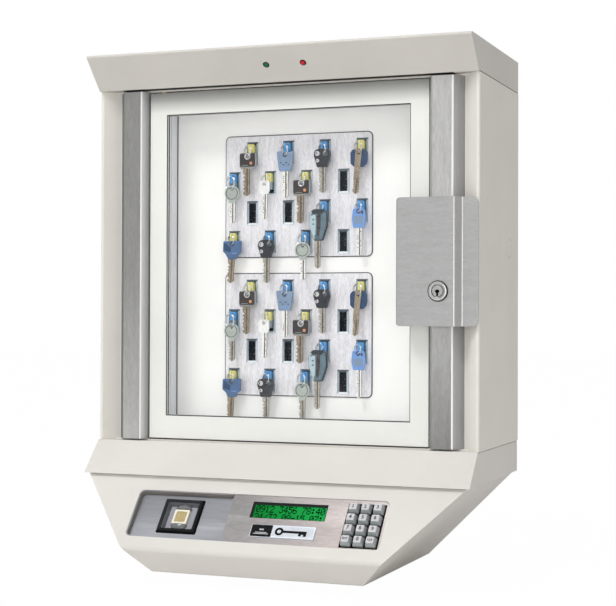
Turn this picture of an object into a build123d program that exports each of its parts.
from build123d import *
import math
import os

# Wall-mounted electronic key cabinet: header, glazed body and keypad console.
# Millimetres, +Z up. The origin is the centre of the four wall-bolt holes, on
# the wall plane. +X is to the right of a person facing the cabinet, -Y is out
# of the wall, so "front" means lower y.

# ---------------------------------------------------------------- dimensions
HALF_W = 508.0 / 2          # half the body width
HALF_H = 452.0 / 2          # half the body height, between header and console
BODY_D = 202.0              # body depth at the front corners
SKIN = 2.0                  # casing sheet
SEAM = 0.05                 # gap between body, header and console
RUN = 0.05                  # running clearance on a radius

# Front rim and sheets of the body
RIM_X, RIM_Y = 232.0, -182.0        # inner end of the slanted front rim
JAMB_X = 191.0
STOP_X, STOP_Y = 172.6, -157.0      # inner end and front of the stop flange
SHEET_Y = -186.0                    # front edge of the top and bottom sheets
WALL_HOLE_PITCH_X, WALL_HOLE_PITCH_Z, WALL_HOLE_R = 406.4, 350.0, 4.5
CABLE_Z, CABLE_R = -150.0, 20.0     # cable hole in the back panel
CONSOLE_WAY = (-60, 60, -60, -20)   # cable way into the console: x and y limits
HEADER_WAY = (-30, 30, -60, -30)    # cable way into the header
SCREWS = [(side * 182.0, z) for side in (-1, 1) for z in (-190.0, 0.0, 190.0)]

# Header and console flare
HEAD_H, HEAD_D = 41.1, 240.4        # height, depth at the top front edge
HEAD_HALF_W = 253.7
HEAD_Z = HALF_H + SEAM              # underside of the header
LED_X, LED_RISE = (-12.0, 36.8), 19.0
FLARE_H, FLARE_D = 39.6, 239.7      # height, depth at the lip
FLARE_HALF_W = 253.2

# Console housing; points are (y, z)
CONS_TOP, CONS_BOTTOM = -266.7, -381.0
FACE_TOP = (-233.3, -266.0)         # top of the sloped control face
FACE_BEND = (-303.6, -348.3)        # bend at its lower end
CONS_LOW = (-278.0, -379.0)         # bottom front edge
CONS_HALF_TOP = 248.0               # half width at CONS_TOP
CONS_TAPER = 0.997                  # half width lost per mm of height
CONS_T = 2.5                        # wall
CONS_SIDE_T = 3.6                   # side wall, measured along x

# Control face openings: x from, x to, s from, s to (s runs down the face)
OPENING = (-167.5, 160.0, 22.0, 90.0)
OPENING_R = 7.0
LCD = (-12.0, 84.5, 31.0, 54.0)
KEYPAD = (109.6, 157.0, 26.8, 88.2)
READER = (-131.6, -78.4, 30.0, 79.0)
DIVIDE_X = -40.0                    # joint between reader tray and right plate
FIT = 0.3                           # gap round the plates

# Keypad buttons
BUTTON_X, BUTTON_S = 118.0, 35.0    # centre of the first button
BUTTON_PITCH_X, BUTTON_PITCH_S = 15.3, 15.0
BUTTON_NAMES = ["1", "2", "3", "4", "5", "6", "7", "8", "9", "enter", "0", "clear"]
BUTTONS = [(BUTTON_X + col * BUTTON_PITCH_X, BUTTON_S + row * BUTTON_PITCH_S)
           for row in range(4) for col in range(3)]

# Door
DOOR_X, DOOR_TOP, DOOR_BOT = 187.6, 222.6, -222.8
DOOR_FRONT, DOOR_BACK, DOOR_T = -186.0, -170.0, 1.5
DOOR_INNER = DOOR_FRONT + DOOR_T    # rear face of the door's front sheet
HINGE_X, HINGE_Y, PIN_R = -172.0, -178.0, 3.0

# Lock and its cover
LOCK_X, LOCK_Z = 208.0, -35.2
LOCK_R, PLUG_R = 9.5, 6.5
COVER_Y, COVER_X, COVER_T = -217.0, 155.5, 1.5   # face, left edge, sheet
COVER_HALF_H = 77.0
WING_Y = -204.2                     # face of the cover's right-hand wing

# Key panel and modules
PANEL_Y, PANEL_T = -140.0, 1.5
LINER_X = 171.0                     # inner face of the side liners
LINER_FRONT = -158.6
LINER_BACK = PANEL_Y - 0.02
MOD_X, MOD_BOT, MOD_TOP = 100.0, 11.0, 167.0     # upper module
MOD_SHIFTS = {"upper": 0.0, "lower": -178.0}
SLOT_W, SLOT_H = 16.0, 31.5
SLOT_PITCH, ROW_DROP, ROW_TOP = 50.0, 38.2, 159.7
# row and column, from 1 -> x, z of the middle of the frame's top; rows staggered
SLOTS = {f"{row + 1}{col + 1}":
         ((-87.5 if row % 2 else -62.5) + col * SLOT_PITCH, ROW_TOP - row * ROW_DROP)
         for row in range(4) for col in range(4)}

# Hanging keys
KEY_BACK = -149.9                   # rear face of the heads
EYE_Y, EYE_DROP = -152.2, 7.0       # eyelet on the front of the tag
# slot -> kind, x offset from the tag, drop of the head's top below the frame
KEYS = {
    "11": ("square", -2.4, 15.0), "12": ("trapezoid", -0.6, 14.8),
    "13": ("ring", 0.0, 12.8), "14": ("wide", -1.4, 15.4),
    "21": ("round", 0.6, 18.6), "22": ("slim", -4.3, 13.3), "23": ("square", -3.1, 13.5),
    "33": ("remote", -4.4, 12.9), "34": ("narrow", -1.0, 12.4),
    "41": ("broad", 1.2, 13.2), "42": ("ring", -1.4, 12.2), "43": ("round", -1.4, 16.6),
}


# ------------------------------------------------------------------- helpers
# An outline is a list of 2D points; an optional third value rounds the corner.
def rounded(outline):
    """Replace each corner that has a radius by a seven-point arc."""
    points = []
    for i, (x, y, *radius) in enumerate(outline):
        if not radius or not radius[0]:
            points.append((x, y))
            continue
        before, after = outline[i - 1], outline[(i + 1) % len(outline)]
        to_before = (before[0] - x, before[1] - y)
        to_after = (after[0] - x, after[1] - y)
        len_before, len_after = math.hypot(*to_before), math.hypot(*to_after)
        to_before = (to_before[0] / len_before, to_before[1] / len_before)
        to_after = (to_after[0] / len_after, to_after[1] / len_after)
        cosine = to_before[0] * to_after[0] + to_before[1] * to_after[1]
        half = math.acos(max(-1, min(1, cosine))) / 2
        # the arc may use at most 45 % of either edge
        tangent = min(radius[0] / math.tan(half), 0.45 * len_before, 0.45 * len_after)
        r = tangent * math.tan(half)
        bisector = (to_before[0] + to_after[0], to_before[1] + to_after[1])
        reach = r / math.sin(half) / math.hypot(*bisector)
        centre_x, centre_y = x + bisector[0] * reach, y + bisector[1] * reach
        start = math.atan2(y + to_before[1] * tangent - centre_y,
                           x + to_before[0] * tangent - centre_x)
        end = math.atan2(y + to_after[1] * tangent - centre_y,
                         x + to_after[0] * tangent - centre_x)
        turn = (end - start + math.pi) % (2 * math.pi) - math.pi
        for step in range(7):
            angle = start + turn * step / 6
            points.append((centre_x + r * math.cos(angle), centre_y + r * math.sin(angle)))
    return points


def mirrored(outline):
    return [(-x, *rest) for x, *rest in reversed(outline)]


def rect(x_from, x_to, z_from, z_to, r=0):
    return [(x_from, z_from, r), (x_to, z_from, r), (x_to, z_to, r), (x_from, z_to, r)]


def polygon(points):
    return Face(Wire.make_polygon([Vector(*p) for p in points], close=True))


def prism(points, *direction):
    vector = Vector(*direction)
    return extrude(polygon(points), amount=vector.length, dir=vector.normalized())


def extrude_x(outline, x_from, x_to):
    return prism([(x_from, y, z) for y, z in rounded(outline)], x_to - x_from, 0, 0)


def extrude_y(outline, y_from, y_to):
    return prism([(x, y_from, z) for x, z in rounded(outline)], 0, y_to - y_from, 0)


def extrude_z(outline, z_from, z_to):
    return prism([(x, y, z_from) for x, y in rounded(outline)], 0, 0, z_to - z_from)


# Boxes and cylinders take the two ends of a span in either order.
def box(x_from, x_to, y_from, y_to, z_from, z_to):
    centre = Pos((x_from + x_to) / 2, (y_from + y_to) / 2, (z_from + z_to) / 2)
    return centre * Box(abs(x_to - x_from), abs(y_to - y_from), abs(z_to - z_from))


def mid_box(half_x, y_from, y_to, half_z):
    """Box centred on the origin in x and z."""
    return box(-half_x, half_x, y_from, y_to, -half_z, half_z)


def cyl_x(y, z, r, x_from, x_to):
    return Pos((x_from + x_to) / 2, y, z) * Rot(0, 90, 0) * Cylinder(r, abs(x_to - x_from))


def cyl_y(x, z, r, y_from, y_to):
    return Pos(x, (y_from + y_to) / 2, z) * Rot(90, 0, 0) * Cylinder(r, abs(y_to - y_from))


def cyl_z(x, y, r, z_from, z_to):
    return Pos(x, y, (z_from + z_to) / 2) * Cylinder(r, abs(z_to - z_from))


def save(name, shapes):
    solids = [solid for shape in shapes for solid in shape.solids()]
    export_step(Compound(solids), os.path.join("parts", name + ".step"))


# Control face frame: x across, s down the face from its top, n outwards.
face_dy, face_dz = FACE_BEND[0] - FACE_TOP[0], FACE_BEND[1] - FACE_TOP[1]
face_len = math.hypot(face_dy, face_dz)
NORMAL_Y, NORMAL_Z = face_dz / face_len, -face_dy / face_len
FACE = Plane(origin=(0, *FACE_TOP), x_dir=(1, 0, 0), z_dir=(0, NORMAL_Y, NORMAL_Z)).location


def face_box(x_from, x_to, s_from, s_to, n_from, n_to):
    return FACE * box(x_from, x_to, -s_from, -s_to, n_from, n_to)


def face_prism(outline, n_from, n_to):
    """Outline points are (x, s)."""
    return FACE * extrude_z([(x, -s, *r) for x, s, *r in outline], n_from, n_to)


def inset(bounds, margin):
    x_from, x_to, s_from, s_to = bounds
    return x_from + margin, x_to - margin, s_from + margin, s_to - margin


def around(x, s, half_x, half_s):
    return x - half_x, x + half_x, s - half_s, s + half_s


def frustum(bounds, n_from, n_to, shrink):
    """Loft on the control face, each side drawn in by shrink at n_to."""
    ends = []
    for margin, n in ((0, n_from), (shrink, n_to)):
        x_from, x_to, s_from, s_to = inset(bounds, margin)
        ends.append(polygon([(x_from, -s_from, n), (x_to, -s_from, n),
                             (x_to, -s_to, n), (x_from, -s_to, n)]))
    return FACE * loft(ends)


# --------------------------------------------------------------- body casing
def cam_slot():
    """Cutter for the lock's cam, through the right flange and its trim."""
    return extrude_y(rect(LOCK_X - 12, LOCK_X + 12, LOCK_Z - 31, LOCK_Z + 14, 4), -205, -170)


def cabinet_shell():
    # Folded sheet (x, y, r): side wall, slanted rim, front flange, jamb, stop flange
    right_side = [
        (HALF_W, -BODY_D, 3.0), (RIM_X, RIM_Y, 1.5), (JAMB_X, RIM_Y, 1.5),
        (JAMB_X, STOP_Y), (STOP_X, STOP_Y), (STOP_X, STOP_Y + SKIN),
        (JAMB_X + SKIN, STOP_Y + SKIN), (JAMB_X + SKIN, RIM_Y + SKIN),
        (RIM_X + 1.0, RIM_Y + SKIN), (HALF_W - SKIN, -BODY_D + 4.6, 1.2),
        (HALF_W - SKIN, 0), (HALF_W, 0)]
    shell = extrude_z(right_side, -HALF_H, HALF_H)
    shell += extrude_z(mirrored(right_side), -HALF_H, HALF_H)
    for side in (1, -1):
        shell += box(-HALF_W + SKIN, HALF_W - SKIN, SHEET_Y, 0,
                     side * (HALF_H - SKIN), side * HALF_H)
    shell -= cam_slot()
    shell -= box(*CONSOLE_WAY, -HALF_H - 1, -HALF_H + SKIN + 1)
    shell -= box(*HEADER_WAY, HALF_H - SKIN - 1, HALF_H + 1)
    # scored round knock-out on each side wall
    for side in (1, -1):
        wall = side * HALF_W
        shell -= (cyl_x(-48.0, 22.0, 12.6, wall - 0.8, wall + 0.8)
                  - cyl_x(-48.0, 22.0, 11.2, wall - 0.9, wall + 0.9))
    for x, z in SCREWS:
        shell -= cyl_y(x, z, 2.1, -158, -154)
    return [shell]


def back_panel():
    edge = SKIN + 0.3
    back = mid_box(HALF_W - edge, -SKIN, 0, HALF_H - edge)
    for side in (-1, 1):
        for end in (-1, 1):
            back -= cyl_y(side * WALL_HOLE_PITCH_X / 2, end * WALL_HOLE_PITCH_Z / 2,
                          WALL_HOLE_R, -5, 5)
    return [back - cyl_y(0, CABLE_Z, CABLE_R, -5, 5)]


# ---------------------------------------------------------- header and flare
def edge_grooved(cover, half_width, z_edge):
    """Cut a shadow groove across the edge at z_edge on both sides."""
    for side in (-1, 1):
        cover -= box(side * (half_width - 1.0), side * 255.0, -196.0, 1.0,
                     z_edge - 1, z_edge + 1)
    return cover


def led_places():
    """Frames on the header's sloped face, z pointing outwards and down."""
    overhang = HEAD_D - BODY_D
    y = -BODY_D - overhang * LED_RISE / HEAD_H
    return [Plane(origin=(x, y, HEAD_Z + LED_RISE), x_dir=(1, 0, 0),
                  z_dir=(0, -HEAD_H, -overhang)).location for x in LED_X]


def header_cover():
    top = HEAD_Z + HEAD_H
    outside = [(0, HEAD_Z), (-BODY_D, HEAD_Z), (-HEAD_D, top, 2.2), (0, top)]
    inside = [(-SKIN, HEAD_Z + SKIN), (-BODY_D + 1.0, HEAD_Z + SKIN),
              (-HEAD_D + 5.6, top - SKIN), (-SKIN, top - SKIN)]
    inner_x = HEAD_HALF_W - SKIN
    header = (extrude_x(outside, -HEAD_HALF_W, HEAD_HALF_W)
              - extrude_x(inside, -inner_x, inner_x))
    header -= box(*HEADER_WAY, HEAD_Z - 1, HEAD_Z + SKIN + 1)
    header = edge_grooved(header, HEAD_HALF_W, HEAD_Z)
    for place in led_places():
        header -= place * Cylinder(3.1, 12)
    return [header]


def status_leds():
    """Domed lens with a separate round flange behind it."""
    return [place * (Pos(0, 0, -1.0) * Cylinder(3.0, 4.0) + Pos(0, 0, 1.0) * Sphere(3.0)
                     + Pos(0, 0, -4.6) * Cylinder(4.5, 1.6))
            for place in led_places()]


def console_flare():
    top = -HALF_H - SEAM
    lip = top - FLARE_H
    outside = [(0, top), (-BODY_D, top), (-FLARE_D, lip), (0, lip)]
    inside = [(-SKIN, top - SKIN), (-BODY_D + 1.0, top - SKIN),
              (-FLARE_D + 3.4, lip + 1.5), (-SKIN, lip + 1.5)]
    inner_x = FLARE_HALF_W - SKIN
    flare = (extrude_x(outside, -FLARE_HALF_W, FLARE_HALF_W)
             - extrude_x(inside, -inner_x, inner_x))
    flare -= box(-238, 238, -228, -SKIN, lip - 1, lip + 2)     # open to the housing
    flare -= box(*CONSOLE_WAY, top - SKIN - 1, top + 1)
    return [edge_grooved(flare, FLARE_HALF_W, top)]


# ----------------------------------------------------------- console housing
def console_taper(z_top, side_inset=0.0):
    """Front-view trapezoid that trims the housing's sides."""
    z_low = CONS_BOTTOM - 2
    half_top, half_low = (CONS_HALF_TOP + (z - CONS_TOP) * CONS_TAPER - side_inset
                          for z in (z_top, z_low))
    return extrude_y([(-half_top, z_top), (half_top, z_top),
                      (half_low, z_low), (-half_low, z_low)], -320, 5)


def console_housing():
    # the control face's slope, carried up to the top edge
    top_y = FACE_TOP[0] + (CONS_TOP - FACE_TOP[1]) / face_dz * face_dy
    outside = [(0, CONS_TOP), (top_y, CONS_TOP), (*FACE_BEND, 6.5), (*CONS_LOW, 6.0),
               (0, CONS_BOTTOM)]
    # the cavity runs past the top edge, so the housing is open there
    inside = [(-CONS_T, CONS_TOP + 3), (top_y + CONS_T / abs(NORMAL_Y) + 2.5, CONS_TOP + 3),
              (FACE_BEND[0] + 3.3, FACE_BEND[1] + 0.2, 4.2),
              (CONS_LOW[0] + 1.2, CONS_LOW[1] + 3.2, 3.6), (-CONS_T, CONS_BOTTOM + CONS_T)]
    outer = extrude_x(outside, -260, 260) & console_taper(CONS_TOP + 1)
    inner = extrude_x(inside, -260, 260) & console_taper(CONS_TOP + 4, CONS_SIDE_T)
    housing = outer - inner
    housing -= face_prism(rect(*OPENING, OPENING_R), -6, 3)
    # speaker slots under the console
    for i in range(5):
        housing -= box(-20, 20, -150 - i * 6, -147 - i * 6, CONS_BOTTOM - 5, CONS_BOTTOM + 6)
    return [housing]


# --------------------------------------------------- parts on the control face
def opening_slice(x_from, x_to, margin, n_from, n_to):
    """Part of the rounded opening between two x values, inset by margin."""
    _, _, s_from, s_to = inset(OPENING, margin)
    corners = face_prism(rect(*inset(OPENING, margin), OPENING_R - margin),
                         n_from - 1, n_to + 1)
    return face_box(x_from, x_to, s_from, s_to, n_from, n_to) & corners


def control_plates():
    left, right = OPENING[:2]
    plate = opening_slice(DIVIDE_X + FIT, right - FIT, FIT, -2.5, -1.0)
    plate -= face_box(*LCD, -4, 1)
    plate -= face_box(*KEYPAD, -4, 1)
    tray = opening_slice(left + FIT, DIVIDE_X - 0.2, FIT, -8.5, -0.6)
    tray -= opening_slice(left + 1.5, DIVIDE_X + 3, 1.5, -7.0, 1)
    tray -= face_box(*inset(READER, 4), -10, 1)
    return [plate, tray]


def fingerprint_reader():
    centre_x, centre_s = (READER[0] + READER[1]) / 2, (READER[2] + READER[3]) / 2
    bezel = frustum(READER, -7.0, -3.2, 2.5)
    bezel -= frustum(inset(READER, 5.5), -3.0, -11.0, 3.0)
    bezel += (face_box(*inset(READER, 4.3), -16, -7.0)
              - face_box(*inset(READER, 8), -14, 0))
    floor = face_box(*inset(READER, 8.2), -13.5, -10.0)
    # round-edged finger guides above and below the sensor
    guides = []
    for side in (-1, 1):
        disc = FACE * (Pos(centre_x, -(centre_s + side * 13.0), -10.0) * Cylinder(10.5, 4.0))
        gap = face_box(*around(centre_x, centre_s, 20, 10.2), -14, 0)
        limit = face_box(*inset(READER, 8.5), -10.0, 0)
        guides.append((disc - gap) & limit)
    frame = (face_box(*around(centre_x, centre_s, 9.5, 9.8), -10.0, -6.5)
             - face_box(*around(centre_x, centre_s, 7.2, 7.6), -7.4, 0))
    sensor = face_box(*around(centre_x, centre_s, 7.1, 7.5), -7.4, -6.9)
    return [bezel, floor, *guides, frame, sensor]


def display():
    left, right, upper, lower = LCD
    return [face_box(*inset(LCD, -2), -5.0, -2.6),
            face_box(left - 8, right + 8, upper - 5, lower + 7, -10.0, -5.2)]


def badge_plate():
    return [face_prism(rect(-5.0, 77.0, 63.3, 80.8, 1.2), -1.0, 0.2)]


def keypad_base():
    left, right, upper, lower = KEYPAD
    base = face_box(left - 2, right + 1.5, upper - 2, lower + 1.3, -6.0, -3.2)
    for x, s in BUTTONS:
        base -= face_box(*around(x, s, 3.08, 3.08), -8, 0)
    return [base]


def keypad_button(x, s):
    cap = around(x, s, 6.9, 7.0)
    return (face_box(*cap, -1.6, 1.2) + frustum(cap, 1.2, 5.4, 2.2)
            + face_box(*around(x, s, 3.0, 3.0), -7.5, -1.6))


def electronics():
    board_top = -298.4
    board = box(-70, 70, -120, -30, -300, board_top)
    # blocks on the board: x from, x to, y from, y to, top z
    for *footprint, top in ((-60, -30, -110, -85, -288), (-20, 5, -100, -75, -296),
                            (20, 60, -60, -40, -286), (-55, -35, -60, -45, -292)):
        board += box(*footprint, board_top, top)
    supply = box(90, 170, -130, -40, -320, -285)
    battery = box(-60, 60, -120, -50, -372, -320)
    return [board, supply, battery]


# ------------------------------------------------------- trim and key panel
def trim_strips():
    # right strip (x, y, r): outer surface, then back along the inner one
    strip = [(231.4, -182.0), (221.2, -197.2, 2.0), (219.6, -198.2, 2.0),
             (195.2, -199.6, 2.0), (193.6, -199.0, 2.0), (189.6, -188.0, 1.0),
             (189.6, -183.0),
             (190.8, -183.0), (190.8, -187.6, 0.8), (194.4, -197.7, 0.8),
             (195.4, -198.3, 0.8), (219.2, -197.0, 0.8), (220.2, -196.3),
             (229.8, -182.0)]
    return [extrude_z(strip, -223.8, 223.6) - cam_slot(),
            extrude_z(mirrored(strip), -223.8, 223.6)]


def key_panel():
    """Panel, side liners folded out over the stop flanges, and end liners."""
    outer_x = LINER_X + PANEL_T
    panel = mid_box(outer_x, PANEL_Y, PANEL_Y + PANEL_T, 223.0)
    for end in (-1, 1):
        panel -= box(-MOD_X + 5, MOD_X - 5, -150, -130,
                     end * (MOD_BOT + 3), end * (MOD_TOP - 3))
    liners = []
    for side in (-1, 1):
        liner = box(side * LINER_X, side * outer_x, LINER_FRONT, LINER_BACK, -221.4, 221.4)
        liner += box(side * LINER_X, side * 190.5, LINER_FRONT, LINER_FRONT + PANEL_T,
                     -221.4, 221.4)
        for x, z in SCREWS:
            liner -= cyl_y(x, z, 2.1, -160, -156)
        liners.append(liner)
    for end in (-1, 1):
        liners.append(box(-outer_x, outer_x, LINER_FRONT, LINER_BACK,
                          end * 221.5, end * 223.0))
    return [panel, *liners]


def panel_screws():
    screws = []
    for x, z in SCREWS:
        screw = (cyl_y(x, z, 2.0, LINER_FRONT, -150.0)
                 + cyl_y(x, z, 3.8, -160.4, LINER_FRONT - 0.05))
        screws.append(screw - box(x - 2.6, x + 2.6, -161, -159.6, z - 0.4, z + 0.4))
    return screws


# --------------------------------------------------------------- key modules
def module_plates():
    plates = []
    for shift in MOD_SHIFTS.values():
        plate = extrude_y(rect(-MOD_X, MOD_X, MOD_BOT + shift, MOD_TOP + shift, 6.0),
                          PANEL_Y - 1.6, PANEL_Y - 0.1)
        for x, z in SLOTS.values():
            top = z + shift
            plate -= box(x - SLOT_W / 2 + 1.5, x + SLOT_W / 2 - 1.5, -150, -130,
                         top - SLOT_H + 1.5, top - 1.5)
        plates.append(plate)
    return plates


def receptacles():
    found = []
    for shift in MOD_SHIFTS.values():
        for x, z in SLOTS.values():
            top = z + shift
            socket = box(x - SLOT_W / 2, x + SLOT_W / 2, -142.6, -141.65, top - SLOT_H, top)
            socket += box(x - 6.3, x + 6.3, -141.65, -124.0, top - SLOT_H + 1.7, top - 1.7)
            socket -= box(x - 3.8, x + 3.8, -150.0, -126.0, top - 27.4, top - 4.2)
            found.append(socket)
    return found


# ------------------------------------------------------------------ key sets
# Head outlines (x, z, r) from the middle of the head's top; "round" is a disc
HEADS = {
    "square": [(-10.2, -20.4, 1.5), (10.2, -20.4, 1.5), (11.6, -17), (11.6, -1.5),
               (10, 0), (-10, 0), (-11.6, -1.5), (-11.6, -17)],
    "trapezoid": [(-8.2, -25.5), (8.2, -25.5), (10.2, -12), (11.7, 0),
                  (3, -1), (-3, 1), (-11.7, 0), (-10.2, -12)],
    "ring": [(-7.0, -24), (7.0, -24), (8.6, -17), (11.5, -9), (10.5, -2, 4),
             (4, 0, 2), (-4, 0, 2), (-10.5, -2, 4), (-11.5, -9), (-8.6, -17)],
    "wide": [(-6, -22.6), (6, -22.6), (11.0, -18), (11.3, -4),
             (8, 0), (-8, 0), (-11.3, -4), (-11.0, -18)],
    "slim": rect(-7.2, 7.2, -17.0, 0, 1.5),
    "remote": [(-6.4, -40.3, 3), (6.4, -40.3, 3), (12.6, -22, 6), (12.6, -5, 5),
               (6.4, 0, 4), (-6.4, 0, 4), (-12.6, -5, 5), (-12.6, -22, 6)],
    "narrow": [(-7.2, -25.6), (7.2, -25.6), (9.1, -14), (7.6, -2),
               (3, 0), (-3, 0), (-7.6, -2), (-9.1, -14)],
    "broad": [(-6.0, -24), (6.0, -24), (7.6, -19), (12.6, -15),
              (13.0, 0), (-12.4, 0), (-13.0, -14), (-7.6, -19)],
}
# Front and rear faces of the head, forward of KEY_BACK
HEAD_FACES = {"round": (3.6, 0.6), "slim": (3.6, 0.6), "remote": (7.6, 0.0)}
USUAL_FACES = (4.2, 0.0)
# Split-ring hole: x from the head's middle, drop below its top
HOLES = {"square": (0.0, 4.6), "trapezoid": (0.0, 4.6), "ring": (2.4, 5.6),
         "wide": (0.0, 4.6), "round": (0.0, 4.2), "slim": (0.0, 4.2),
         "remote": (0.0, 4.6), "narrow": (0.0, 4.8), "broad": (0.0, 4.6)}
# Blade: x offset, drop of its top below the head's top, length, width, toothed
BLADES = {
    "square": (-2.0, 20.4, 35.0, 7.4, True), "trapezoid": (0.0, 25.5, 34.0, 6.6, True),
    "ring": (0.0, 24.0, 32.0, 7.2, True), "wide": (-1.6, 22.6, 33.0, 7.0, True),
    "round": (0.0, 20.0, 28.0, 6.8, True), "slim": (0.0, 17.0, 32.5, 6.0, True),
    "remote": (-2.0, 40.3, 35.0, 6.4, False), "narrow": (0.0, 25.6, 35.0, 6.0, False),
    "broad": (-2.2, 24.0, 30.5, 7.4, True),
}
TOOTH_DEPTHS = (1.3, 0.5, 1.6, 0.8, 1.1)    # from the tip upwards
TIP = 1.4                                   # width of the blade's tip chamfers


def key_head(kind, x, z):
    """x, z: middle of the head's top."""
    front, rear = (KEY_BACK - ahead for ahead in HEAD_FACES.get(kind, USUAL_FACES))
    if kind == "round":
        head = cyl_y(x, z - 9.8, 10.0, front, rear)
    else:
        head = extrude_y([(x + dx, z + dz, *r) for dx, dz, *r in HEADS[kind]], front, rear)
    if kind == "remote":    # the top is stepped back
        head -= box(x - 14, x + 14, KEY_BACK - 8, KEY_BACK - 4.2, z - 9.0, z + 4)
    holes = [(*HOLES[kind], 3.0)]
    if kind == "ring":
        holes += [(-6.3, 6.4, 2.1), (-6.0, 15.5, 1.3)]
    for dx, drop, r in holes:
        head -= cyl_y(x + dx, z - drop, r, -170, -140)
    return head


def key_blade(kind, x, z):
    """Flat blade hanging down, any teeth on its left edge."""
    offset, drop, length, width, toothed = BLADES[kind]
    left, right = x + offset - width / 2, x + offset + width / 2
    top = z - drop
    tip = top - length
    outline = [(right, top), (right, tip + TIP * 2), (right - TIP, tip), (left + TIP, tip)]
    if toothed:
        tooth_z = tip + 2.5
        step = length * 0.68 / len(TOOTH_DEPTHS)
        for depth in TOOTH_DEPTHS:
            outline += [(left + 0.2, tooth_z), (left + depth, tooth_z + step * 0.5)]
            tooth_z += step
        outline.append((left, tooth_z))
    else:
        outline.append((left, tip + TIP * 2))
    outline.append((left, top))
    return extrude_y(outline, KEY_BACK - 3.4, KEY_BACK - 0.8)


def split_ring(eye, hole):
    """Ring through the tag's eyelet (along X) and the head's hole (along Y)."""
    down = hole - eye
    radius = down.length / 2
    down = down.normalized()
    # in-plane direction, half-way between the two hole axes
    across = Vector(1.0, -1.0, 0).normalized()
    across = (across - down * across.dot(down)).normalized()
    plane = Plane(origin=(eye + hole) * 0.5, x_dir=across, z_dir=across.cross(down))
    return plane.location * Torus(radius, 0.55)


def key_set(x, top, kind, offset, drop):
    """Tag in its receptacle with ring and key. x, top: top of the slot frame."""
    eye_z = top - EYE_DROP
    tag = box(x - 4.7, x + 4.7, -149.6, -143.4, top - 14.6, top - 3.4)
    tag += box(x - 3.4, x + 3.4, -149.0, -131.5, top - 24.0, top - 5.2)
    tag += box(x - 0.75, x + 0.75, EYE_Y - 2.7, -149.0, eye_z - 2.9, eye_z + 2.6)
    tag -= cyl_x(EYE_Y, eye_z, 1.7, x - 15, x + 15)
    key_x, key_z = x + offset, top - drop
    hole_x, hole_drop = HOLES[kind]
    ring = split_ring(Vector(x, EYE_Y, eye_z),
                      Vector(key_x + hole_x, KEY_BACK - 2.1, key_z - hole_drop))
    return [tag, ring, key_head(kind, key_x, key_z), key_blade(kind, key_x, key_z)]


# ---------------------------------------------------------------------- door
def door_frame():
    frame = box(-DOOR_X, DOOR_X, DOOR_FRONT, DOOR_BACK, DOOR_BOT, DOOR_TOP)
    frame -= box(-DOOR_X + DOOR_T, DOOR_X - DOOR_T, DOOR_INNER, DOOR_BACK + 5,
                 DOOR_BOT + DOOR_T, DOOR_TOP - DOOR_T)
    # low wall round the glass
    frame += (mid_box(171.5, DOOR_INNER, -174.0, 201.5)
              - mid_box(170.0, -200, -160, 200.0))
    frame -= mid_box(164.5, -190, -160, 194.0)      # window
    frame -= cyl_z(HINGE_X, HINGE_Y, PIN_R + RUN, -230, 230)
    for z in (-60.0, 60.0):
        frame -= cyl_y(178.0, z, 1.8, -190, -180)
    return [frame]


def door_rubber():
    """Glass gasket with its groove, and two round bumpers on the right edge."""
    gasket = (mid_box(169.8, DOOR_INNER, -177.0, 199.6)
              - mid_box(163.3, -190, -160, 192.8))
    gasket -= mid_box(167.0, -182.6, -179.4, 196.6)
    return [gasket, *(cyl_x(-182.5, z, 2.6, DOOR_X, DOOR_X + 1.0) for z in (209.0, -215.0))]


def door_glass():
    return [mid_box(166.6, -182.5, -179.5, 196.2)]


def hinge_pins():
    """Pins from the top and bottom sheets into the door, each with a collar."""
    pins = []
    for side, collar_z in ((1, DOOR_TOP + 0.1), (-1, DOOR_BOT - 0.1)):
        sheet_z = side * (HALF_H - SKIN)
        pins.append(cyl_z(HINGE_X, HINGE_Y, PIN_R, side * 212.0, sheet_z)
                    + cyl_z(HINGE_X, HINGE_Y, 6.0, collar_z, sheet_z))
    return pins


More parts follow.
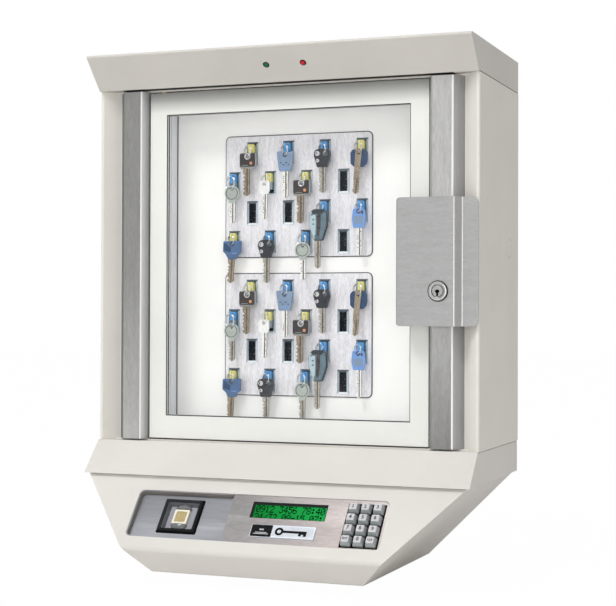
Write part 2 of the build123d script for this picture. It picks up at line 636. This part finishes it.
# ------------------------------------------------------------ lock and cover
def lock_cover():
    rear_y, wing_rear = COVER_Y + COVER_T, WING_Y + COVER_T
    inner_x = COVER_X + COVER_T
    # folded sheet (x, y, r)
    sheet = [(COVER_X, DOOR_FRONT), (COVER_X, COVER_Y, 2.2), (228.0, COVER_Y, 2.2),
             (233.7, WING_Y, 2.0), (HALF_W, WING_Y), (HALF_W, wing_rear),
             (232.7, wing_rear, 0.6), (227.0, rear_y, 0.8), (inner_x, rear_y, 0.7),
             (inner_x, DOOR_FRONT)]
    cap = [(156.9, DOOR_FRONT), (156.9, rear_y + 0.6), (157.6, rear_y - 0.1),
           (226.6, rear_y - 0.1), (227.4, rear_y + 0.6), (232.4, wing_rear),
           (186.0, wing_rear), (186.0, DOOR_FRONT)]
    cover = extrude_z(sheet, -COVER_HALF_H, COVER_HALF_H)
    cover += extrude_z(cap, COVER_HALF_H - COVER_T, COVER_HALF_H)
    cover += extrude_z(cap, -COVER_HALF_H, -COVER_HALF_H + COVER_T)
    # round the corners seen from the front
    cover &= extrude_y([(COVER_X, -COVER_HALF_H, 5.0), (HALF_W, -COVER_HALF_H, 8.0),
                        (HALF_W, COVER_HALF_H, 8.0), (COVER_X, COVER_HALF_H, 5.0)],
                       -230, -180)
    return [cover - cyl_y(LOCK_X, LOCK_Z, LOCK_R + RUN, -230, -200)]


def lock_cylinder():
    """Flanged barrel and the nut behind the cover."""
    barrel = (cyl_y(LOCK_X, LOCK_Z, LOCK_R, COVER_Y - 0.5, -183.5)
              + cyl_y(LOCK_X, LOCK_Z, 12.6, COVER_Y - 3.0, COVER_Y))
    barrel -= cyl_y(LOCK_X, LOCK_Z, PLUG_R + RUN, -230, -180)
    nut_y = COVER_Y + COVER_T + 0.1
    nut = (cyl_y(LOCK_X, LOCK_Z, 13.0, nut_y, nut_y + 3.5)
           - cyl_y(LOCK_X, LOCK_Z, LOCK_R + RUN, -230, -180))
    return [barrel, nut]


def lock_plug():
    """Turning plug with the cam at its rear and the keyway in its face."""
    plug = cyl_y(LOCK_X, LOCK_Z, PLUG_R, COVER_Y - 3.6, -179.0)
    plug += extrude_y(rect(LOCK_X - 8, LOCK_X + 8, LOCK_Z - 28, LOCK_Z + 9, 4),
                      -179.2, -176.2)
    plug -= box(LOCK_X - 0.9, LOCK_X + 0.9, -225, -206, LOCK_Z - 4.2, LOCK_Z + 4.2)
    return [plug]


# -------------------------------------------------------------------- output
os.makedirs("parts", exist_ok=True)
# each piece's file is named after its function
for piece in (cabinet_shell, back_panel, header_cover, status_leds, console_flare,
              console_housing, control_plates, fingerprint_reader, display, badge_plate,
              keypad_base, electronics, trim_strips, key_panel, panel_screws,
              module_plates, receptacles, door_frame, door_rubber, door_glass,
              hinge_pins, lock_cover, lock_cylinder, lock_plug):
    save(piece.__name__, piece())
for name, (x, s) in zip(BUTTON_NAMES, BUTTONS):
    save("keypad_button_" + name, [keypad_button(x, s)])
for module, shift in MOD_SHIFTS.items():
    for slot, key in KEYS.items():
        x, z = SLOTS[slot]
        save(f"key_set_{module}_{slot}", key_set(x, z + shift, *key))
